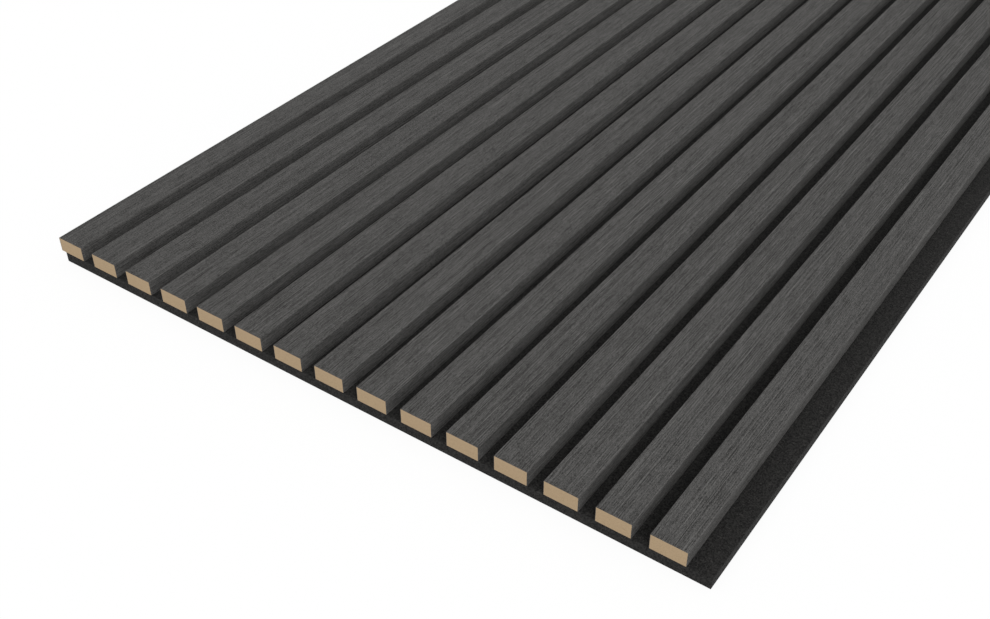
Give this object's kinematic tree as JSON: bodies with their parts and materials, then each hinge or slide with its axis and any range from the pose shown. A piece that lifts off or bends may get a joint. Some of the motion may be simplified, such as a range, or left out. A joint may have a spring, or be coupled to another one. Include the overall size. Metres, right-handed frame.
{
  "type": "acoustic slat wall panel",
  "caption": "Acoustic wall panel of parallel charcoal wood-veneer slats with bare fibreboard ends, on a black felt sheet that forms a ledge for the next panel's overhanging slat.",
  "frame": {"origin": "middle of the panel's outline, on the wall face of the felt", "axes": "+Y along the slats, away from the end that the picture shows; +X across the slats, from the overhanging slat to the bare felt ledge; +Z out of the wall, from the felt to the slats' faces"},
  "size_m": [0.605, 2.4, 0.022],
  "materials": {
    "felt": "black needle-punched felt, matt and slightly mottled",
    "fibreboard": "bare tan medium-density fibreboard, sawn at the ends",
    "veneer": "charcoal stained wood veneer with fine lengthwise grain, matt",
    "staple_wire": "galvanised flat wire"
  },
  "bodies": {
    "root": {"felt_backing": "felt", "slat_core_01": "fibreboard", "slat_core_02": "fibreboard", "slat_core_03": "fibreboard", "slat_core_04": "fibreboard", "slat_core_05": "fibreboard", "slat_core_06": "fibreboard", "slat_core_07": "fibreboard", "slat_core_08": "fibreboard", "slat_core_09": "fibreboard", "slat_core_10": "fibreboard", "slat_core_11": "fibreboard", "slat_core_12": "fibreboard", "slat_core_13": "fibreboard", "slat_core_14": "fibreboard", "slat_core_15": "fibreboard", "slat_veneer_01": "veneer", "slat_veneer_02": "veneer", "slat_veneer_03": "veneer", "slat_veneer_04": "veneer", "slat_veneer_05": "veneer", "slat_veneer_06": "veneer", "slat_veneer_07": "veneer", "slat_veneer_08": "veneer", "slat_veneer_09": "veneer", "slat_veneer_10": "veneer", "slat_veneer_11": "veneer", "slat_veneer_12": "veneer", "slat_veneer_13": "veneer", "slat_veneer_14": "veneer", "slat_veneer_15": "veneer", "staples": "staple_wire"}
  },
  "joints": []
}
